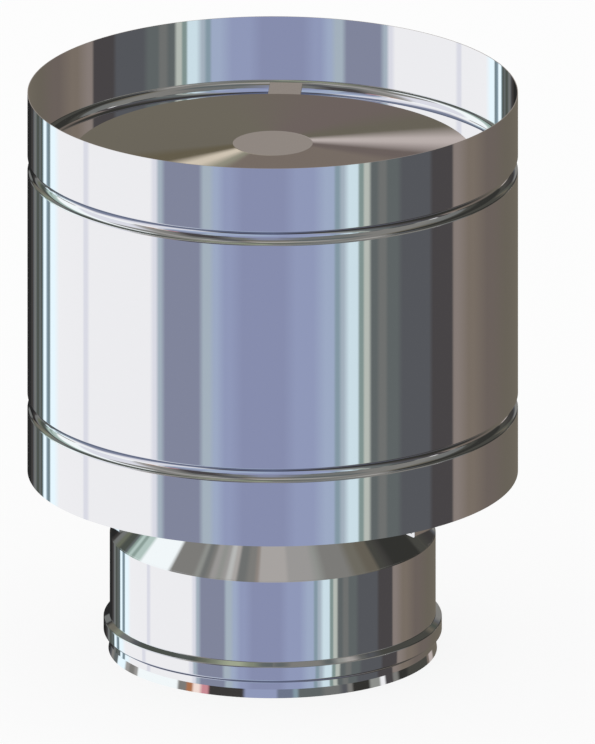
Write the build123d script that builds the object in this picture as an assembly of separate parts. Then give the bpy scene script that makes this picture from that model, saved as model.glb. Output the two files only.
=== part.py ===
"""Chimney cowl for a twin-wall flue, rolled and pressed from thin stainless sheet.

A round jacket stub stands on the chimney, with the flue tube inside it and a cone that closes
the space between them. A diffuser widens the flue at its top. Three bent straps stand on the
cone's collar: they carry a beaded cylindrical shell round the outlet, open above and below,
and a shallow cap inside the shell's mouth that keeps rain out of the flue.

Millimetres, +Z up, the origin at the centre of the jacket's lower edge. The straight tab of
the first strap lies at the back, towards +Y.
"""
import os
from math import radians, sqrt, tan

from build123d import *

# Clearance between rolled pieces that lap, and between faces that only meet
lap_clearance = 0.1
seat_clearance = 0.05

# Jacket: the outer tube of the stub, with the bead that a locking band grips
jacket_radius = 100.0
jacket_height = 75.0
jacket_sheet = 0.5
jacket_bead_depth = 3.8
jacket_bead_low = 12.0
jacket_bead_high = 20.9
jacket_bead_slope = 2.0
jacket_lip_flare = 0.8
jacket_lip_height = 5.6

# Flue tube: the inner tube that carries the smoke
flue_bore_radius = 75.0
flue_sheet = 0.8
flue_recess = 25.0
flue_length = 125.0

# Cone: closes the stub between the jacket and the flue tube
cone_sheet = 0.5
cone_slope_deg = 45.0
cone_skirt = 10.0
cone_collar = 16.0

# Diffuser: widens the flue tube to its outlet
diffuser_sheet = 0.5
diffuser_collar = 25.0
diffuser_height = 75.0
diffuser_outlet_radius = 93.75

# Shell: the large cylinder, with a bead pressed inwards near each end
shell_bore_radius = 150.0
shell_sheet = 0.5
shell_lift = 39.3
shell_height = 243.8
shell_bead_inset = 45.7
shell_bead_depth = 3.5
shell_bead_half_width = 4.3
shell_bead_crest = 3.4

# Cap: a shallow cone with a flat middle, inside the shell's mouth
cap_radius = 123.5
cap_flat_radius = 24.5
cap_rise = 8.6
cap_sheet = 0.5

# Straps: three bent flat bars that carry the shell and the cap
strap_count = 3
strap_first_azimuth = 3.2
strap_width = 20.0
strap_thickness = 2.0
strap_bend_radius = 0.5
strap_leg_radius = 110.7
strap_foot_slope_deg = 12.0
strap_pad_lift = 2.6
strap_pad_height = 12.0
strap_tab_rise = 3.9

# Each piece's own values that others are placed by
jacket_bore_radius = jacket_radius - jacket_sheet
jacket_bead_radius = jacket_radius + jacket_bead_depth
flue_radius = flue_bore_radius + flue_sheet
flue_high = flue_recess + flue_length
cone_skirt_radius = jacket_bore_radius - lap_clearance
cone_collar_radius = flue_radius + lap_clearance + cone_sheet
cone_top = jacket_height + (cone_skirt_radius - cone_collar_radius) * tan(radians(cone_slope_deg))
shell_radius = shell_bore_radius + shell_sheet
shell_low = jacket_height + shell_lift
shell_high = shell_low + shell_height
shell_bead_heights = (shell_low + shell_bead_inset, shell_high - shell_bead_inset)
cap_seat = max(shell_bead_heights) + strap_tab_rise


def sheet_section(line, thickness):
    """The section of a sheet whose left face, seen along the line, lies thickness from it."""
    return make_face(offset(line, amount=thickness, side=Side.LEFT, kind=Kind.INTERSECTION))


def turned(line, thickness):
    """A piece of revolution about Z, from the line of one face, drawn as (radius, height)."""
    return revolve(Plane.XZ * sheet_section(line, thickness), axis=Axis.Z)


def shell_inside(height):
    """Radius of the shell's inner face at a height, with the ridges of its beads."""
    away = min(abs(height - bead_height) for bead_height in shell_bead_heights)
    run = shell_bead_half_width - shell_bead_crest / 2
    slant = sqrt(run**2 + shell_bead_depth**2)
    groove_depth = shell_bead_depth * (shell_bead_half_width - away) / run
    flank_radius = shell_radius - groove_depth - shell_sheet * slant / run
    return min(shell_bore_radius, max(flank_radius, shell_bore_radius - shell_bead_depth))


def make_jacket():
    """Straight tube with a raised bead and a lip that flares to a level lower edge."""
    slope = jacket_bead_slope
    lip_run = jacket_lip_flare / jacket_lip_height
    line = Polyline(
        (jacket_radius + jacket_lip_flare + lip_run * jacket_sheet, -jacket_sheet),
        (jacket_radius, jacket_lip_height),
        (jacket_radius, jacket_bead_low - slope),
        (jacket_bead_radius, jacket_bead_low),
        (jacket_bead_radius, jacket_bead_high),
        (jacket_radius, jacket_bead_high + slope),
        (jacket_radius, jacket_height),
    )
    return turned(line, jacket_sheet).split(Plane.XY, keep=Keep.TOP)


def make_flue_tube():
    """Plain tube, recessed from the jacket's lower edge."""
    line = Line((flue_radius, flue_recess), (flue_radius, flue_high))
    return turned(line, flue_sheet)


def make_cone():
    """Skirt inside the jacket's rim, cone, and a collar round the flue tube."""
    line = Polyline(
        (cone_skirt_radius, jacket_height - cone_skirt),
        (cone_skirt_radius, jacket_height),
        (cone_collar_radius, cone_top),
        (cone_collar_radius, cone_top + cone_collar),
    )
    return turned(line, cone_sheet)


def make_diffuser():
    """Collar over the flue tube's end, then a wall that widens to the outlet."""
    collar_radius = flue_radius + lap_clearance + diffuser_sheet
    line = Polyline(
        (collar_radius, flue_high - diffuser_collar),
        (collar_radius, flue_high),
        (diffuser_outlet_radius, flue_high + diffuser_height),
    )
    return turned(line, diffuser_sheet)


def make_shell():
    """Cylinder with raw edges and two beads pressed inwards."""
    groove_radius = shell_radius - shell_bead_depth
    points = [(shell_radius, shell_low)]
    for height in shell_bead_heights:
        points.append((shell_radius, height - shell_bead_half_width))
        points.append((groove_radius, height - shell_bead_crest / 2))
        points.append((groove_radius, height + shell_bead_crest / 2))
        points.append((shell_radius, height + shell_bead_half_width))
    points.append((shell_radius, shell_high))
    return turned(Polyline(points), shell_sheet)


def make_cap():
    """Flat middle and a cone that falls to a raw rim on the straps' tabs."""
    outline = Polyline(
        (0, cap_seat + cap_rise),
        (cap_flat_radius, cap_seat + cap_rise),
        (cap_radius, cap_seat + seat_clearance),
        (cap_radius, cap_seat + seat_clearance + cap_sheet),
        (cap_flat_radius, cap_seat + cap_rise + cap_sheet),
        (0, cap_seat + cap_rise + cap_sheet),
        close=True,
    )
    return revolve(Plane.XZ * make_face(outline), axis=Axis.Z)


def make_strap(azimuth):
    """Pad on the cone's collar, sloping foot, upright leg and level tab to the shell's bead."""
    pad_radius = cone_collar_radius + seat_clearance
    pad_low = cone_top + strap_pad_lift
    foot_drop = (strap_leg_radius - pad_radius) * tan(radians(strap_foot_slope_deg))
    tab_low = cap_seat - strap_thickness
    crests = [height for height in shell_bead_heights if tab_low < height < cap_seat]
    ridge_radius = min(shell_inside(height) for height in [tab_low, cap_seat, *crests])
    tab_end = sqrt(ridge_radius**2 - (strap_width / 2) ** 2) - seat_clearance
    line = FilletPolyline(
        (pad_radius, pad_low + strap_pad_height),
        (pad_radius, pad_low),
        (strap_leg_radius, pad_low - foot_drop),
        (strap_leg_radius, tab_low),
        (tab_end, tab_low),
        radius=[
            strap_bend_radius,
            strap_bend_radius + strap_thickness,
            strap_bend_radius,
        ],
    )
    section = Plane.XZ * sheet_section(line, strap_thickness)
    strap = extrude(section, amount=strap_width / 2, both=True)
    return strap.rotate(Axis.Z, 90 - azimuth)


pieces = {
    "jacket": make_jacket(),
    "flue_tube": make_flue_tube(),
    "cone": make_cone(),
    "diffuser": make_diffuser(),
    "shell": make_shell(),
    "cap": make_cap(),
}
for number in range(strap_count):
    turn = strap_first_azimuth + number * 360 / strap_count
    pieces[f"bracket_{number + 1}"] = make_strap(turn)

os.makedirs("parts", exist_ok=True)
for name, piece in pieces.items():
    export_step(piece, f"parts/{name}.step")
    corners = piece.bounding_box()
    print(f"{name}: {piece.volume:.0f} mm3, z {corners.min.Z:.2f} to {corners.max.Z:.2f}")
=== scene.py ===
"""Looks of a chimney cowl in bright stainless sheet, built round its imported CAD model.

The file is a lesson in cells. Each step says what a piece or finish is on the real cowl, how it
could be made in Blender and why this way was chosen. Lengths in the code are millimetres, and
MM turns them into Blender's metres.
"""
# %% [markdown]
# # The frame
# The imported CAD model is the fixed frame. Its pieces are already where they belong, in metres,
# with +Z up along the flue. New pieces are drawn at the same places, so nothing is fitted by
# eye afterwards. The looks must not change the size.

from math import cos, pi, radians, sin, tan

import bmesh
import bpy
from mathutils import Matrix, Vector


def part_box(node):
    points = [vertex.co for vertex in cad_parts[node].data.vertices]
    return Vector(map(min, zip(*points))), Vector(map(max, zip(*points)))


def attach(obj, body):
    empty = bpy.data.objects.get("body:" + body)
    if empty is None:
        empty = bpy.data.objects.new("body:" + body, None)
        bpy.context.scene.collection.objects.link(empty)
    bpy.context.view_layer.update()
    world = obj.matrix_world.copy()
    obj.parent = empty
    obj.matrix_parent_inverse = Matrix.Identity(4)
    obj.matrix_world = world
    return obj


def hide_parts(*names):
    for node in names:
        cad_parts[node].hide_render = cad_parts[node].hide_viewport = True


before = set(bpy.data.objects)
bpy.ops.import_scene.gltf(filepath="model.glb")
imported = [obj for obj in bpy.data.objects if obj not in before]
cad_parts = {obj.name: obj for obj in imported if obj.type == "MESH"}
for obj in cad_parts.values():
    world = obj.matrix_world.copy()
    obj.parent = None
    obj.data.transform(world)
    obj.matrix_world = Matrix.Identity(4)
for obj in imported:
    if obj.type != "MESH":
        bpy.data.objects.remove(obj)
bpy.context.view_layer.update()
MM = 0.001
print("nodes:", sorted(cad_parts))

# %% [markdown]
# # Sheet metal turned about an axis
# Almost every piece of the cowl is one sheet of stainless, rolled or spun into a body of
# revolution. It could be made from cylinders and booleans. A metalworker thinks of it as the
# line of one face, turned about the axis, with the sheet's thickness on one side of it, and
# Blender can do just that: a few vertices joined by edges, vertex bevels where a die rounds
# the bends, a spin, and a solidify. The bends are then true arcs, and a later change is a
# change of one number.

# %% Helper: a line with rounded bends
def draw_line(bm, points, bends):
    """Edges through (radius, height) points. Each bend is a corner's number, the radius that it
    is rounded to, and the number of steps."""
    corners = [Vector((radius * MM, 0, height * MM)) for radius, height in points]
    verts = [bm.verts.new(corner) for corner in corners]
    for pair in zip(verts, verts[1:]):
        bm.edges.new(pair)
    for number, radius, segments in bends:
        before, here, after = corners[number - 1:number + 2]
        turn = (here - before).angle(after - here)
        bmesh.ops.bevel(
            bm, geom=[verts[number]], offset=radius * MM * tan(turn / 2), offset_type="OFFSET",
            affect="VERTICES", segments=segments, profile=0.5, material=-1,
        )


trial = bmesh.new()
draw_line(trial, [(0, 0), (10, 0), (10, 10)], [(1, 2.0, 4)])
print("a right angle rounded in 4 steps:", len(trial.verts), "vertices")
trial.free()

# %% [markdown]
# # Smooth sheet, hard edges
# A mirror shows every fault of its normals. Bends have to look round and raw edges have to
# stay hard, which an angle can tell apart. A bend's first face would also pull the shading of
# the long flat face next to it, so a Weighted Normal modifier gives the flat faces the say.
#
# The object then rides on the cowl's one body and takes the place of its CAD piece. It is
# hidden from the other pieces' reflections: in the photo each piece shows only the studio.

# %% Helper: finish a piece
HARD_EDGE_DEG = 38          # more than the sheets' bends turn from one face to the next
FLAT_FACES_SAY = 90         # how far large faces lead small ones, where 50 is neutral


def finish_piece(bm, name, replaced, material):
    """Makes the object, smooth but for its raw edges, and ties it to the frame."""
    mesh = bpy.data.meshes.new(name)
    bm.to_mesh(mesh)
    bm.free()
    mesh.shade_smooth()
    mesh.set_sharp_from_angle(angle=radians(HARD_EDGE_DEG))
    mesh.materials.append(material)
    piece = bpy.data.objects.new(name, mesh)
    bpy.context.scene.collection.objects.link(piece)
    normals = piece.modifiers.new("flat_faces_lead", "WEIGHTED_NORMAL")
    normals.keep_sharp = True
    normals.weight = FLAT_FACES_SAY
    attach(piece, "root")
    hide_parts(replaced)
    piece.visible_glossy = False
    low = [min(v.co[i] for v in mesh.vertices) / MM for i in range(3)]
    high = [max(v.co[i] for v in mesh.vertices) / MM for i in range(3)]
    cad_low, cad_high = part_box(replaced)
    print(f"{name}: {len(mesh.polygons)} faces,",
          "mm", [round(v, 2) for v in low + high],
          "cad", [round(v / MM, 2) for v in [*cad_low, *cad_high]])
    return piece


print("edges that turn by more than", HARD_EDGE_DEG, "degrees stay hard")

# %% [markdown]
# # From the line to the sheet
# The spin draws the circle in 320 flats. They stand less than a hundredth of a millimetre
# inside it, too little to show in a mirror. A line that starts on the axis leaves a vertex
# there for every flat, so doubled vertices are merged. The thickness follows the normals, so
# these are set right before it is given: outwards from the axis, or upwards where the sheet
# lies level.

# %% Helper: one sheet, turned
SPIN_STEPS = 320
MERGE_GAP = 0.002           # vertices closer than this are one
LEVEL_SAY = 0.1             # metres from the axis at which a wall counts as much as a level face


def turned_sheet(name, points, bends, sheet, replaced, material):
    """A sheet whose line is its outer or upper face, sheet being its thickness."""
    bm = bmesh.new()
    draw_line(bm, points, bends)
    bmesh.ops.spin(
        bm, geom=bm.verts[:] + bm.edges[:], cent=(0, 0, 0), axis=(0, 0, 1), angle=2 * pi,
        steps=SPIN_STEPS, use_merge=True, use_normal_flip=False, use_duplicate=False,
    )
    bmesh.ops.remove_doubles(bm, verts=bm.verts[:], dist=MERGE_GAP * MM)
    bmesh.ops.recalc_face_normals(bm, faces=bm.faces[:])
    outwards = sum(f.normal.x * f.calc_center_median().x + f.normal.y * f.calc_center_median().y
                   + f.normal.z * LEVEL_SAY for f in bm.faces)
    if outwards < 0:
        bmesh.ops.reverse_faces(bm, faces=bm.faces[:])
    bmesh.ops.solidify(bm, geom=bm.faces[:], thickness=sheet * MM)
    bmesh.ops.recalc_face_normals(bm, faces=bm.faces[:])
    return finish_piece(bm, name, replaced, material)


print("flats inside a circle of 150 mm by", round(150 * (1 - cos(pi / SPIN_STEPS)), 4), "mm")

# %% [markdown]
# # Colours and nodes
# A colour is written as its sRGB code, as in a paint list, but Blender works in linear light,
# so one function turns the code into it. Materials are made of nodes, and each node is added
# in the same way, with its own settings and what its sockets are given, so one small function
# serves for all of them.

# %% Helper: a colour from its code
def linear(code):
    """The linear colour, with alpha, of an sRGB code."""
    parts = [int(code[i:i + 2], 16) / 255 for i in (1, 3, 5)]
    return [p / 12.92 if p <= 0.04045 else ((p + 0.055) / 1.055) ** 2.4 for p in parts] + [1.0]


print("middle grey in linear light:", round(linear("#808080")[0], 3))

# %% Helper: add a node
COLOUR_A, COLOUR_B, COLOUR_OUT = 6, 7, 2


def add(tree, kind, settings=None, inputs=None):
    """Adds a node. settings are its own properties, inputs its sockets' values or links."""
    node = tree.nodes.new(kind)
    for name, value in (settings or {}).items():
        setattr(node, name, value)
    for socket, value in (inputs or {}).items():
        if isinstance(value, bpy.types.NodeSocket):
            tree.links.new(value, node.inputs[socket])
        else:
            node.inputs[socket].default_value = value
    return node


print("the Mix node's colour sockets:", COLOUR_A, COLOUR_B, "and out of", COLOUR_OUT)

# %% [markdown]
# # Stainless steel, three finishes
# Bright annealed stainless is rolled between polished rolls and annealed away from air, so it
# keeps close to a mirror finish. To the eye it has almost no colour of its own: it shows the
# room. What tells it from a perfect mirror is a trace of rolling grain, under a tenth of a
# millimetre wide, which blurs what it shows a little along one way. The flue's sheet has the
# duller mill finish, and the straps are bright bar.
#
# All three are the same metal: metallic 1, the default IOR, and a base colour of about three
# quarters. Only roughness and grain differ, so one function makes them. The grain is drawn
# 0.5 to 0.6 mm wide, because the real one would be lost in the picture.

# %% Helper: stainless steel
GRAIN_DEPTH = 0.002


def stainless(name, tone, roughness, spread, grain_mm, along_mm, bump):
    """Rolled stainless. The grain is grain_mm wide up the piece and along_mm long round it. Its
    lines are up to spread rougher than the metal between them."""
    material = bpy.data.materials.new(name)
    material.use_nodes = True
    tree = material.node_tree
    tree.nodes.clear()
    place = add(tree, "ShaderNodeTexCoord")
    stretch = add(tree, "ShaderNodeMapping", None, {
        0: place.outputs["Object"],
        "Scale": (1 / (along_mm * MM), 1 / (along_mm * MM), 1 / (grain_mm * MM)),
    })
    grain = add(tree, "ShaderNodeTexNoise", None, {
        0: stretch.outputs[0], "Scale": 1.0, "Detail": 3.0, "Roughness": 0.6,
    })
    gloss = add(tree, "ShaderNodeMapRange", None, {
        0: grain.outputs[0], 1: 0.3, 2: 0.7, 3: roughness, 4: roughness + spread,
    })
    lines = add(tree, "ShaderNodeBump", None, {
        "Strength": bump, "Distance": GRAIN_DEPTH * MM, "Height": grain.outputs[0],
    })
    shader = add(tree, "ShaderNodeBsdfPrincipled", None, {
        "Base Color": linear(tone), "Metallic": 1.0, "Roughness": gloss.outputs[0],
        "Normal": lines.outputs[0],
    })
    add(tree, "ShaderNodeOutputMaterial", None, {0: shader.outputs[0]})
    return material


print("grain lines up to", GRAIN_DEPTH, "mm deep")

# %% The three finishes
# The outer pieces: a near mirror that shows the studio sharply
BRIGHT_TONE = "#E0E0E2"
bright_annealed = stainless("stainless_bright_annealed", BRIGHT_TONE, roughness=0.02,
                            spread=0.02, grain_mm=0.6, along_mm=60, bump=0.05)
# The flue's sheet: a soft sheen without an image
mill_finish = stainless("stainless_mill_finish", "#D2D2D4", roughness=0.20,
                        spread=0.10, grain_mm=0.5, along_mm=40, bump=0.3)
# The straps: an image, a little blurred
bright_bar = stainless("stainless_bright_bar", "#DEDEE0", roughness=0.04,
                       spread=0.04, grain_mm=0.5, along_mm=30, bump=0.1)
print("materials:", [m.name for m in bpy.data.materials])

# %% [markdown]
# # The shell
# The largest piece is a cylinder rolled from sheet, open above and below, with raw edges and
# two beads pressed inwards that stiffen it. A bead is a half-round swage with small radii at
# its feet, where the sheet turns out of the wall. In the mirror it is the liveliest place:
# over a few millimetres it shows everything from the ground to the sky. Four corners a bead
# are enough, because wide bevels on the two inner ones meet in the middle as one arc.

# %% Build the shell
SHEET = 0.5
shell_low, shell_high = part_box("shell")[0].z / MM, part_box("shell")[1].z / MM
SHELL_RADIUS = 150.5
BEAD_INSET, BEAD_DEPTH, BEAD_HALF, BEAD_CREST = 45.4, 3.5, 4.1, 2.69
FOOT_BEND, CREST_BEND = (1.0, 4), (3.97, 9)
line, bends = [(SHELL_RADIUS, shell_low)], []
for centre in (shell_low + BEAD_INSET, shell_high - BEAD_INSET):
    start = len(line)
    line += [(SHELL_RADIUS, centre - BEAD_HALF), (SHELL_RADIUS - BEAD_DEPTH, centre - BEAD_CREST),
             (SHELL_RADIUS - BEAD_DEPTH, centre + BEAD_CREST), (SHELL_RADIUS, centre + BEAD_HALF)]
    bends += [(start, *FOOT_BEND), (start + 1, *CREST_BEND),
              (start + 2, *CREST_BEND), (start + 3, *FOOT_BEND)]
line.append((SHELL_RADIUS, shell_high))
turned_sheet("shell_sheet", line, bends, SHEET, "shell", bright_annealed)

# %% [markdown]
# # The jacket
# The outer tube of the stub. Its raised bead is what a locking band grips, and its lower lip
# flares a little so that it slips over the chimney's end. The upper raw edge is dressed to the
# cone's slope after the turning, so that no bright line parts the two.

# %% Build the jacket
JACKET_RADIUS, JACKET_BEAD, JACKET_HEIGHT = 100.0, 103.8, 75.0
RIM_DRESSED = 0.5
line = [(JACKET_RADIUS + 0.8, 0.07), (JACKET_RADIUS, 5.6), (JACKET_RADIUS, 10.0),
        (JACKET_BEAD, 12.0), (JACKET_BEAD, 20.9), (JACKET_RADIUS, 22.9),
        (JACKET_RADIUS, JACKET_HEIGHT - RIM_DRESSED)]
bends = [(1, 2.0, 3), (2, 0.8, 4), (3, 1.2, 5), (4, 0.8, 4), (5, 0.5, 3)]
jacket = turned_sheet("jacket_sheet", line, bends, SHEET, "jacket",
                      bright_annealed)
inner_rim = [v for v in jacket.data.vertices
             if v.co.z > (JACKET_HEIGHT - RIM_DRESSED - 0.1) * MM
             and v.co.xy.length < (JACKET_RADIUS - SHEET / 2) * MM]
for v in inner_rim:
    v.co.z = JACKET_HEIGHT * MM
print("rim vertices dressed to the cone's slope:", len(inner_rim))

# %% [markdown]
# # The cone
# It closes the space between the jacket and the flue. A skirt goes down inside the jacket, and
# a collar stands round the flue tube.

# %% Build the cone
SKIRT_RADIUS, COLLAR_RADIUS = 99.4, 76.4
line = [(SKIRT_RADIUS, 65.0), (SKIRT_RADIUS, JACKET_HEIGHT), (COLLAR_RADIUS, 98.0),
        (COLLAR_RADIUS, 114.0)]
bends = [(1, 0.15, 2), (2, 1.0, 3)]
turned_sheet("cone_sheet", line, bends, SHEET, "cone", bright_annealed)

# %% [markdown]
# # The flue tube and the diffuser
# Inside, where the smoke goes, the sheet has the duller mill finish. The diffuser laps over the
# tube's end and widens to the outlet under the cap.

# %% Build the flue tube and the diffuser
FLUE_RADIUS, FLUE_SHEET, FLUE_LOW, FLUE_HIGH = 75.8, 0.8, 25.0, 150.0
line = [(FLUE_RADIUS, FLUE_LOW), (FLUE_RADIUS, FLUE_HIGH)]
turned_sheet("flue_tube_sheet", line, [], FLUE_SHEET, "flue_tube",
             mill_finish)
line = [(COLLAR_RADIUS, FLUE_HIGH - 25.0), (COLLAR_RADIUS, FLUE_HIGH), (93.75, FLUE_HIGH + 75.0)]
turned_sheet("diffuser_sheet", line, [(1, 4.0, 4)], SHEET, "diffuser",
             mill_finish)

# %% [markdown]
# # The cap
# A shallow cone with a flat middle, spun from one disc. It keeps the rain out of the flue. Its
# upper face is the line here, and the sheet's thickness lies under it.

# %% Build the cap
CAP_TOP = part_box("cap")[1].z / MM
CAP_RADIUS, CAP_FLAT, CAP_FALL = 123.5, 24.5, 8.55
line = [(0.0, CAP_TOP), (CAP_FLAT, CAP_TOP), (CAP_RADIUS, CAP_TOP - CAP_FALL)]
turned_sheet("cap_sheet", line, [(1, 6.0, 3)], SHEET, "cap",
             bright_annealed)

# %% [markdown]
# # The outline of a strap
# Three flat bars, each bent cold three times, carry the shell and the cap. A bar could be a
# curve with a flat profile. Here its outline is drawn edge on, as two faces with their own
# bends, because those can take the sizes read from the photo one by one, and the tab's end
# can be cut to the slope of the shell's bead, which it is welded to.

# %% Draw the outline
def beside(points, distance):
    """The line that runs at a distance to the right of another, with its corners mitred."""
    places = [Vector(p) for p in points]
    ways = [(b - a).normalized() for a, b in zip(places, places[1:])]
    sides = [Vector((w.y, -w.x)) for w in ways]
    mitres = [(s + q) / (1 + s.dot(q)) for s, q in zip(sides, sides[1:])]
    return [tuple(p + m * distance) for p, m in zip(places, [sides[0], *mitres, sides[-1]])]


STRAP_THICK = 2.0
TAB_LOW, TAB_END, TAB_END_UPPER = 314.3, 146.16, 147.8
LEG_RADIUS, PAD_RADIUS = 110.6, 76.45
outer = [(TAB_END, TAB_LOW), (LEG_RADIUS, TAB_LOW), (LEG_RADIUS, 92.9), (PAD_RADIUS, 100.6),
         (PAD_RADIUS, 112.6)]
inner = beside(outer, STRAP_THICK)
inner[0] = (TAB_END_UPPER, TAB_LOW + STRAP_THICK)
print("inner face:", [(round(radius, 2), round(height, 2)) for radius, height in inner])

# %% [markdown]
# # The straps
# The outline is filled and pulled sideways to the bar's width. A bevel on the two rims takes
# off their sharpness, as on a deburred bar. Each strap is turned to its place by moving its
# vertices, so the object itself stays untransformed.

# %% Helper: one bent bar
STRAP_WIDTH, DEBURRED = 20.0, 0.12


def make_bar():
    """One bent bar, on edge along +X."""
    bm = bmesh.new()
    draw_line(bm, outer, [(1, 0.5, 3), (2, 1.0, 4), (3, 0.5, 3)])
    draw_line(bm, inner, [(1, 2.5, 6), (2, 0.3, 2), (3, 2.5, 6)])
    loose = [v for v in bm.verts if len(v.link_edges) == 1]
    for end in (outer[0], outer[-1]):
        place = Vector((end[0] * MM, 0, end[1] * MM))
        bm.edges.new(sorted(loose, key=lambda v: (v.co - place).length)[:2])
    side = bmesh.ops.contextual_create(bm, geom=bm.edges[:])["faces"]
    for v in bm.verts:
        v.co.y = -STRAP_WIDTH / 2 * MM
    pulled = bmesh.ops.extrude_face_region(bm, geom=side)["geom"]
    bmesh.ops.translate(bm, verts=[g for g in pulled if isinstance(g, bmesh.types.BMVert)],
                        vec=(0, STRAP_WIDTH * MM, 0))
    bmesh.ops.recalc_face_normals(bm, faces=bm.faces[:])
    rims = [e for e in bm.edges if abs(e.verts[0].co.y - e.verts[1].co.y) < 0.1 * MM]
    bmesh.ops.bevel(bm, geom=rims, offset=DEBURRED * MM, offset_type="OFFSET", affect="EDGES",
                    segments=2, profile=0.5, material=-1)
    bmesh.ops.recalc_face_normals(bm, faces=bm.faces[:])
    return bm


trial = make_bar()
print("one bar:", len(trial.faces), "faces")
trial.free()

# %% Build the straps
STRAP_COUNT, STRAP_FIRST_DEG = 3, 3.2
for number in range(STRAP_COUNT):
    bm = make_bar()
    strap_deg = STRAP_FIRST_DEG + number * 360 / STRAP_COUNT
    bmesh.ops.rotate(bm, verts=bm.verts[:], cent=(0, 0, 0),
                     matrix=Matrix.Rotation(radians(90 - strap_deg), 3, "Z"))
    finish_piece(bm, f"strap_{number + 1}", f"bracket_{number + 1}",
                 bright_bar)

# %% [markdown]
# # The floor
# A plain pale floor, large enough that its edge is never seen. It belongs to the stage and not
# to the cowl.

# %% Build the floor
FLOOR_HALF_M = 6.0
bm = bmesh.new()
bmesh.ops.create_grid(bm, x_segments=1, y_segments=1, size=FLOOR_HALF_M)
mesh = bpy.data.meshes.new("floor")
bm.to_mesh(mesh)
bm.free()
floor = bpy.data.objects.new("floor", mesh)
bpy.context.scene.collection.objects.link(floor)
print("floor:", 2 * FLOOR_HALF_M, "m across,", len(mesh.polygons), "face")

# %% [markdown]
# # A white table, lit from inside
# The floor shows the cowl's soft shadow to the camera. Most of its light is its own, so the
# shadow stays faint, as on a lit table. The steel looks through it, because in the photo the
# walls show the studio below the horizon, as a cowl on a glass table does.

# %% The floor's material
ROOM_WHITE = linear("#FDFDFD")
OWN_LIGHT = 0.88
material = bpy.data.materials.new("white_table")
material.use_nodes = True
tree = material.node_tree
tree.nodes.clear()
ray = add(tree, "ShaderNodeLightPath")
board = add(tree, "ShaderNodeBsdfDiffuse", None, {"Color": ROOM_WHITE})
glow = add(tree, "ShaderNodeEmission", None, {"Color": ROOM_WHITE, "Strength": 1.0})
lit = add(tree, "ShaderNodeMixShader", None, {
    0: OWN_LIGHT, 1: board.outputs[0], 2: glow.outputs[0],
})
glass = add(tree, "ShaderNodeBsdfTransparent")
table = add(tree, "ShaderNodeMixShader", None, {
    0: ray.outputs["Is Glossy Ray"], 1: lit.outputs[0], 2: glass.outputs[0],
})
add(tree, "ShaderNodeOutputMaterial", None, {0: table.outputs[0]})
mesh.materials.append(material)
print("floor's material:", material.name, "with", len(tree.nodes), "nodes")

# %% [markdown]
# # The studio
# Steel this bright is lit by what stands round it. The room is plain white, and in front of
# the white stand cards, cloths and flags that only the steel sees. They could be planes with
# lamps, but they would throw shadows and get in the way of other views. Here they are drawn by
# direction in the world: azimuth is 0 towards the photographer and grows towards +X, elevation
# is 0 at the horizon. Both are in degrees.

# %% Directions in the world
world = bpy.data.worlds.new("studio")
bpy.context.scene.world = world
world.use_nodes = True
tree = world.node_tree
tree.nodes.clear()
way = add(tree, "ShaderNodeTexCoord")
axes = add(tree, "ShaderNodeSeparateXYZ", None, {0: way.outputs["Generated"]})
toward = add(tree, "ShaderNodeMath", {"operation": "MULTIPLY"}, {0: axes.outputs[1], 1: -1.0})
turn = add(tree, "ShaderNodeMath", {"operation": "ARCTAN2"}, {
    0: axes.outputs[0], 1: toward.outputs[0],
})
azimuth = add(tree, "ShaderNodeMath", {"operation": "DEGREES"}, {0: turn.outputs[0]}).outputs[0]
rise = add(tree, "ShaderNodeMath", {"operation": "ARCSINE"}, {0: axes.outputs[2]})
height = add(tree, "ShaderNodeMath", {"operation": "DEGREES"}, {0: rise.outputs[0]}).outputs[0]
print("world:", world.name, "with", len(tree.nodes), "nodes for the direction")

# %% [markdown]
# # The stocks
# All the cards are cut from about fifty stocks, and a stock's colour is the tone that it takes
# in the metal. Greys lean to green high up, to blue in front, where a cloth hangs, and to brown
# on the right.

# %% Name the stocks
STOCKS = {
    "black": "#252525", "soot": "#32322F", "coal": "#3B3938", "bark": "#454540",
    "shade": "#474445", "moss": "#4A4F49", "iron": "#54565A", "lead": "#5E6464",
    "ash": "#6E706E", "stone": "#7C7B77", "clay": "#8E908B", "putty": "#999794",
    "linen": "#A7A39F", "chalk": "#B8B9B6",
    "fern": "#666A5C", "khaki": "#6D6A60", "sage": "#7F8574", "dune": "#8A8878",
    "reed": "#9FA68E", "mint deep": "#7F918D", "mint": "#8A9D95", "pale mint": "#B0C3BC",
    "celadon": "#B4BAB2",
    "ink": "#565E78", "slate": "#6C7588", "petrol": "#6F8187", "storm": "#80859A",
    "steel": "#8397A2", "blue": "#868DAC", "sky": "#8F98B7", "haze": "#9CA9C2",
    "mist": "#A3B0BB", "ice": "#CADDE4",
    "pearl": "#D9DAE2", "cool white": "#E5F5FB", "white": "#ECECED", "snow": "#F1F7F7",
    "peat": "#615A49", "silt": "#645F54", "umber": "#655F55", "loam": "#686358",
    "mauve": "#685E5A", "earth": "#69605A", "bister": "#746A62", "brown": "#776D63",
    "taupe": "#857B75", "stucco": "#8C847D", "dove": "#B4AAA6", "cream": "#CBC0AE",
    "rust": "#A97250", "rose": "#C88A92", "shell": "#F0DCD2",
}
print("stocks:", len(STOCKS))

# %% [markdown]
# # Cards side by side, and one card over another
# A Color Ramp along an angle is a row of cards: where two stops lie close together, one card
# ends and the next begins. A ramp holds 32 stops, so a row has at most 15 edges, and a longer
# one is made of two that are laid one over the other.

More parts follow.
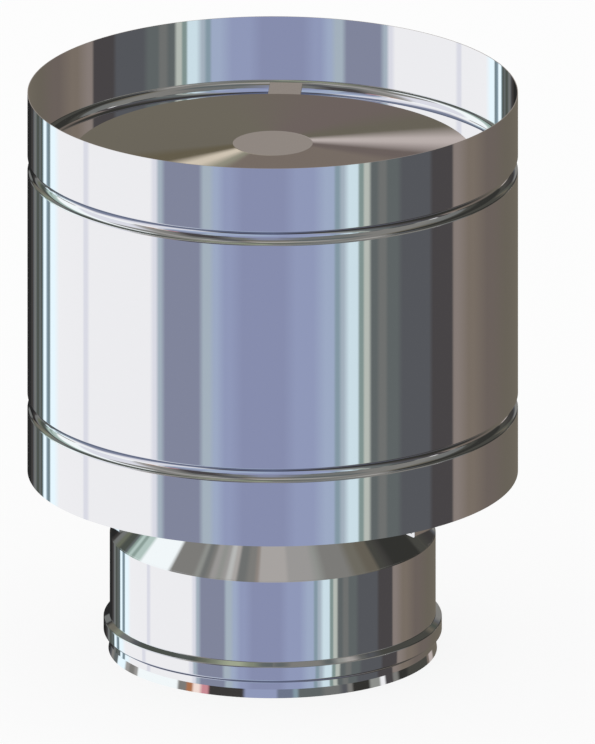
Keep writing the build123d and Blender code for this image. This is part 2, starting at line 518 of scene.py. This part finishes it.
# %% Helpers: lay one over another, and cut a strip
def laid_over(under, over, angle, edge, fade):
    """over takes the place of under where the angle passes the edge. The change is soft over a
    width of fade to either side."""
    mask = add(tree, "ShaderNodeMapRange", {"interpolation_type": "SMOOTHSTEP"}, {
        0: angle, 1: edge - fade, 2: edge + fade,
    })
    mix = add(tree, "ShaderNodeMix", {"data_type": "RGBA"}, {
        0: mask.outputs[0], COLOUR_A: under, COLOUR_B: over,
    })
    return mix.outputs[COLOUR_OUT]


def strip(start, end, first, cards, angle=azimuth):
    """Cards side by side from start to end, with the first one's stock. Each of the others is
    given its near edge, half the width over which that edge fades, and its stock."""
    along = add(tree, "ShaderNodeMapRange", None, {0: angle, 1: start, 2: end})
    ramp = add(tree, "ShaderNodeValToRGB", None, {0: along.outputs[0]})
    stops = ramp.color_ramp.elements
    stops.remove(stops[1])
    stops[0].color = colour = linear(STOCKS[first])
    for edge, fade, stock in cards:
        stops.new((edge - fade - start) / (end - start)).color = colour
        colour = linear(STOCKS[stock])
        stops.new((edge + fade - start) / (end - start)).color = colour
    return ramp.outputs[0]


print("world nodes before the first strip:", len(tree.nodes))

# %% [markdown]
# # The low ring
# Upright walls look 18 degrees below the horizon, so this ring is most of the picture. Going
# round from behind on the left: black flags with slits between them, the great white card that
# lights the left of the shell, a blue-grey cloth straight ahead, a bright slit to the right of
# it, grey flags, and a long brown wall.

# %% The low ring
low_left = strip(-180, -120, "black", [
    (-160.0, 1.5, "coal"), (-155.0, 1.0, "iron"), (-153.0, 0.8, "ash"), (-149.5, 0.6, "lead"),
    (-148.0, 0.7, "moss"), (-144.5, 0.8, "lead"), (-141.5, 0.5, "moss"), (-139.8, 0.4, "petrol"),
    (-138.4, 0.6, "cool white"), (-134.6, 0.6, "steel"), (-132.8, 0.6, "petrol"),
    (-130.2, 0.7, "cool white"), (-123.5, 2.5, "white"),
])
low_white = strip(-120, -30, "white", [
    (-101.0, 0.5, "pearl"), (-97.5, 1.0, "white"), (-59.2, 1.0, "pearl"), (-56.2, 0.8, "mist"),
    (-53.2, 1.2, "storm"), (-34.0, 1.2, "mist"),
])
low_front = strip(-30, 60, "mist", [
    (-28.5, 2.0, "haze"), (-25.0, 2.5, "sky"), (-17.0, 3.0, "blue"), (8.0, 3.0, "sky"),
    (22.0, 3.0, "haze"), (29.3, 0.6, "steel"), (32.0, 0.8, "mist"), (35.0, 1.4, "ice"),
    (41.0, 0.5, "mint deep"), (43.6, 0.5, "celadon"), (46.8, 0.8, "lead"), (51.0, 1.0, "ash"),
    (55.4, 0.8, "lead"),
])
low_right = strip(60, 180, "lead", [
    (62.5, 1.5, "iron"), (80.4, 1.2, "shade"), (94.6, 0.8, "taupe"), (102.0, 4.0, "brown"),
    (116.0, 6.0, "earth"), (135.0, 8.0, "umber"),
])
low_ring = laid_over(low_left, low_white, azimuth, -120, 0.1)
low_ring = laid_over(low_ring, low_front, azimuth, -30, 0.1)
low_ring = laid_over(low_ring, low_right, azimuth, 60, 0.1)
print("low ring made, world nodes:", len(tree.nodes))

# %% [markdown]
# # Under the low ring
# The beads show what lies further down: over a few millimetres a bead mirrors everything from
# the ground to the ceiling. This ring and the ground are soft and far away.

# %% The ground and the ring above it
ground = strip(-180, 180, "ink", [
    (-140, 10, "coal"), (-50, 12, "ink"), (45, 10, "coal"), (165, 8, "ink"),
])
lower_ring = strip(-180, 180, "ink", [
    (-160, 8, "slate"), (-130, 8, "storm"), (-100, 8, "pearl"), (-60, 8, "haze"), (0, 8, "sky"),
    (38, 5, "clay"), (50, 4, "lead"), (68, 5, "shade"), (92, 6, "soot"), (150, 6, "coal"),
    (168, 5, "ink"),
])
print("lower ring made, world nodes:", len(tree.nodes))

# %% [markdown]
# # The horizon
# The jacket's lip flares out, so it looks nearly level where the wall above it looks down. On
# it stand many small things side by side, with a few warm ones among them on the left.

# %% The horizon ring
horizon_ring = strip(-180, 20, "coal", [
    (-160, 1.5, "iron"), (-154, 1.5, "stone"), (-147, 2, "lead"), (-138, 1, "cool white"),
    (-124.5, 1.5, "putty"), (-119, 1.5, "stone"), (-112, 1.5, "putty"), (-108, 1, "snow"),
    (-69, 1, "stone"), (-62, 1, "rust"), (-57, 1, "shell"), (-51, 1.5, "rose"), (-45, 1, "coal"),
    (-19.7, 1.2, "sky"), (3, 1, "slate"),
])
horizon_right = strip(5, 180, "slate", [
    (14, 1, "steel"), (17.5, 1, "lead"), (35, 2, "ash"), (48, 2, "iron"), (53, 1, "stone"),
    (57, 1, "soot"), (71, 1.2, "clay"), (80, 1, "white"), (84.6, 1, "shade"), (92, 1, "stone"),
    (97.6, 1.5, "soot"), (108, 2, "bark"), (137, 1, "bister"), (141, 1, "dove"),
    (150, 2, "umber"),
])
horizon_ring = laid_over(horizon_ring, horizon_right, azimuth, 12, 0.1)
print("horizon ring made, world nodes:", len(tree.nodes))

# %% [markdown]
# # The middle ring
# The cone looks up, steeply in front and less and less towards its sides, where it shows this
# ring. A few slits on the left run down the cone as pale lines.

# %% The middle ring
middle_left = strip(-180, -100, "black", [
    (-153.5, 1.5, "coal"), (-150.4, 0.8, "ash"), (-146, 1.5, "fern"), (-142, 1.2, "moss"),
    (-136.2, 1, "lead"), (-134.8, 0.9, "mint"), (-132.8, 0.6, "pale mint"), (-130.5, 0.6, "mint"),
    (-128, 0.6, "pale mint"), (-122.8, 1.2, "snow"), (-104, 2, "pearl"),
])
middle_ring = strip(-100, 180, "pearl", [
    (-68, 4, "putty"), (-60, 4, "stone"), (-46, 5, "shade"), (-24, 5, "ash"), (-10, 4, "storm"),
    (8, 8, "ash"), (42, 6, "stone"), (85, 6, "ash"), (103, 2, "bark"), (112, 3, "soot"),
    (135.5, 1, "bark"), (146, 5, "coal"), (158, 1.5, "iron"), (161, 1, "stone"),
])
middle_ring = laid_over(middle_left, middle_ring, azimuth, -100, 0.1)
print("middle ring made, world nodes:", len(tree.nodes))

# %% [markdown]
# # The upper ring and the ceiling
# Between its sides and its front the cone shows the upper ring, with one end of the great
# white card. In front it looks nearly straight up, at panels that hang side by side and give it
# its fan of streaks.

# %% The upper ring and the ceiling
upper_ring = strip(-180, 180, "lead", [
    (-135, 5, "ash"), (-122, 1.5, "snow"), (-102.5, 1.2, "stone"), (-85, 1.3, "clay"),
    (-81, 1.2, "ash"), (-76.5, 1.5, "stone"), (-73, 1.5, "putty"), (-58, 6, "ash"),
    (-33, 4, "iron"), (-18, 4, "khaki"), (12, 5, "lead"), (55, 5, "stone"),
    (86, 3, "khaki"), (96, 2, "silt"),
])
upper_right = strip(100, 180, "silt", [(104.6, 1.2, "bark"), (111, 3, "coal"), (116, 2, "soot")])
upper_ring = laid_over(upper_ring, upper_right, azimuth, 101, 0.1)
ceiling = strip(-180, 180, "lead", [
    (-165, 8, "stone"), (-90, 8, "putty"), (-68.5, 2, "clay"), (-63, 2, "putty"),
    (-58.5, 1.5, "chalk"), (-53, 1.5, "linen"), (-47.5, 1.5, "ash"), (-36, 3, "stone"),
    (-25, 2, "stucco"), (-20, 2, "linen"), (21, 3, "putty"), (54, 4, "clay"), (62, 4, "stone"),
])
print("ceiling made, world nodes:", len(tree.nodes))

# %% [markdown]
# # What stands behind
# Faces that lean back, such as the ledge over the jacket's bead, look behind the cowl, and
# the steeper they lean the higher they look. There the walls change with height, so these
# strips run upwards instead of round.

# %% The walls behind
behind_left = strip(14, 80, "coal", [
    (19.5, 1.5, "khaki"), (26, 2, "sage"), (29.5, 1.5, "ash"), (36.5, 1.5, "iron"),
    (40, 1.5, "moss"), (61.5, 1.5, "fern"), (65, 1.5, "sage"), (68, 1.5, "reed"),
    (72.3, 0.8, "sage"), (74, 0.4, "lead"),
], height)
behind_right = strip(14, 80, "silt", [
    (19.5, 1.5, "moss"), (23, 1.5, "silt"), (26.5, 1.5, "bark"), (52, 2, "iron"),
    (56, 1, "ash"), (58.5, 1.2, "linen"), (62.3, 1, "clay"), (65, 1, "lead"), (68, 1, "stone"),
    (74, 0.4, "lead"),
], height)
print("walls behind made, world nodes:", len(tree.nodes))

# %% [markdown]
# # Rings one above the other
# Each ring is laid over the one below it at its own lower edge. The horizon's edges are sharp,
# because the table and the walls end there, and the others are soft. The lip leans back a
# little, so it looks lower and lower towards the back, and the horizon ring is tilted to suit:
# 6.5 degrees down at the back, and as much up in front.

# %% Stack the rings
HORIZON_TILT_DEG = 6.5
tilted = add(tree, "ShaderNodeMath", {"operation": "MULTIPLY_ADD"}, {
    0: toward.outputs[0], 1: -HORIZON_TILT_DEG, 2: height,
}).outputs[0]
stacked = laid_over(ground, lower_ring, height, -74, 4)
stacked = laid_over(stacked, low_ring, height, -33, 8)
stacked = laid_over(stacked, horizon_ring, tilted, -9.4, 0.5)
stacked = laid_over(stacked, middle_ring, tilted, -5.3, 0.5)
stacked = laid_over(stacked, upper_ring, height, 40, 3)
stacked = laid_over(stacked, ceiling, height, 62, 2)
left_end = laid_over(behind_left, stacked, azimuth, -142, 0.6)
right_end = laid_over(stacked, behind_right, azimuth, 142, 0.6)
both_ends = laid_over(left_end, right_end, axes.outputs[0], 0, 0.03)
stacked = laid_over(stacked, both_ends, height, 18.5, 1.5)
stacked = laid_over(stacked, linear(STOCKS["fern"]), height, 81, 3)
print("rings stacked, world nodes:", len(tree.nodes))

# %% [markdown]
# # Boards behind the cowl
# The level and nearly level faces, the cap and the strap's tab, all look at one small patch
# behind the cowl, a little above its mouth. A cone this shallow spreads a few degrees of it
# round the whole cap, and that is what makes the cap's streaks. Two boards stand there side
# by side, each paler at one height, and a small card in their middle shows in the tab and the
# cap's flat. Another small card, far on the left, lights the left end of the ledge over the
# jacket's bead.

# %% Helper: a round card
def round_card(under, over, azimuth_deg, elevation_deg, radius_deg, fade_deg):
    """A round card about one direction: the cosine of the angle to it says how far it reaches."""
    flat = cos(radians(elevation_deg))
    aim = (sin(radians(azimuth_deg)) * flat, -cos(radians(azimuth_deg)) * flat,
           sin(radians(elevation_deg)))
    near = add(tree, "ShaderNodeVectorMath", {"operation": "DOT_PRODUCT"}, {
        0: way.outputs["Generated"], 1: aim,
    })
    mask = add(tree, "ShaderNodeMapRange", {"interpolation_type": "SMOOTHSTEP"}, {
        0: near.outputs["Value"], 1: cos(radians(radius_deg + fade_deg)),
        2: cos(radians(radius_deg - fade_deg)),
    })
    mix = add(tree, "ShaderNodeMix", {"data_type": "RGBA"}, {
        0: mask.outputs[0], COLOUR_A: under, COLOUR_B: over,
    })
    return mix.outputs[COLOUR_OUT]


print("cosine at 12 degrees from the middle of a card:", round(cos(radians(12)), 4))

# %% Set up the boards
left_board = strip(5, 35, "loam", [
    (18.7, 0.9, "peat"), (21.9, 0.8, "cream"), (24.6, 0.9, "dune"), (25.8, 0.6, "bister"),
], height)
right_board = strip(5, 35, "mauve", [
    (11.0, 1.0, "silt"), (14.0, 0.9, "dove"), (16.9, 1.2, "mauve"), (20.2, 0.8, "bister"),
], height)
boards = laid_over(left_board, right_board, axes.outputs[0], 0, 0.016)
cards = round_card(stacked, boards, azimuth_deg=180, elevation_deg=18,
                   radius_deg=12, fade_deg=1.5)
cards = round_card(cards, linear(STOCKS["stucco"]), azimuth_deg=180, elevation_deg=18.1,
                   radius_deg=1.6, fade_deg=0.3)
cards = round_card(cards, linear(STOCKS["ash"]), azimuth_deg=-162, elevation_deg=14.5,
                   radius_deg=3.6, fade_deg=1)
print("boards set up, world nodes:", len(tree.nodes))

# %% [markdown]
# # White room, cards for the steel
# Every ray that leaves the scene meets plain white at strength 1, and the steel meets the
# cards in front of it. The steel returns about three quarters of what it is shown, so the
# cards are a third stronger than their colours, which are then the tones seen in the metal.

# %% Join room and cards
CARD_GAIN = 1 / linear(BRIGHT_TONE)[0]
ray = add(tree, "ShaderNodeLightPath")
room = add(tree, "ShaderNodeBackground", None, {0: ROOM_WHITE, 1: 1.0})
shown = add(tree, "ShaderNodeBackground", None, {0: cards, 1: CARD_GAIN})
both = add(tree, "ShaderNodeMixShader", None, {
    0: ray.outputs["Is Glossy Ray"], 1: room.outputs[0], 2: shown.outputs[0],
})
add(tree, "ShaderNodeOutputWorld", None, {0: both.outputs[0]})
print("cards stronger than their colours by", round(CARD_GAIN, 3))

# %% [markdown]
# # The camera
# The photo's view is parallel: the shell is as wide at its lower edge as at its upper one. So
# the camera is orthographic, and looks down by 18.1 degrees. Its scale is the height of the
# picture in metres at the cowl, and it is aimed at the point in the middle of the picture.

# %% Place the camera
LOOK_DOWN = radians(18.1)
DISTANCE = 4.0
PICTURE_HEIGHT = 0.45644
PICTURE_MIDDLE = Vector((0.0152, 0.0, 0.1777))
camera_data = bpy.data.cameras.new("camera")
camera_data.sensor_fit = "VERTICAL"
camera_data.sensor_height = 36.0
camera_data.type = "ORTHO"
camera_data.ortho_scale = PICTURE_HEIGHT
camera_data.clip_end = 100.0
camera = bpy.data.objects.new("camera", camera_data)
bpy.context.scene.collection.objects.link(camera)
look = Vector((0, cos(LOOK_DOWN), -sin(LOOK_DOWN)))
camera.location = PICTURE_MIDDLE - look * DISTANCE
camera.rotation_euler = look.to_track_quat("-Z", "Y").to_euler()
bpy.context.scene.camera = camera
print("camera at", [round(v, 3) for v in camera.location])

# %% [markdown]
# Settings
# The Standard view shows colours as they are written.

# %% Finish
bpy.context.scene.view_settings.view_transform = "Standard"
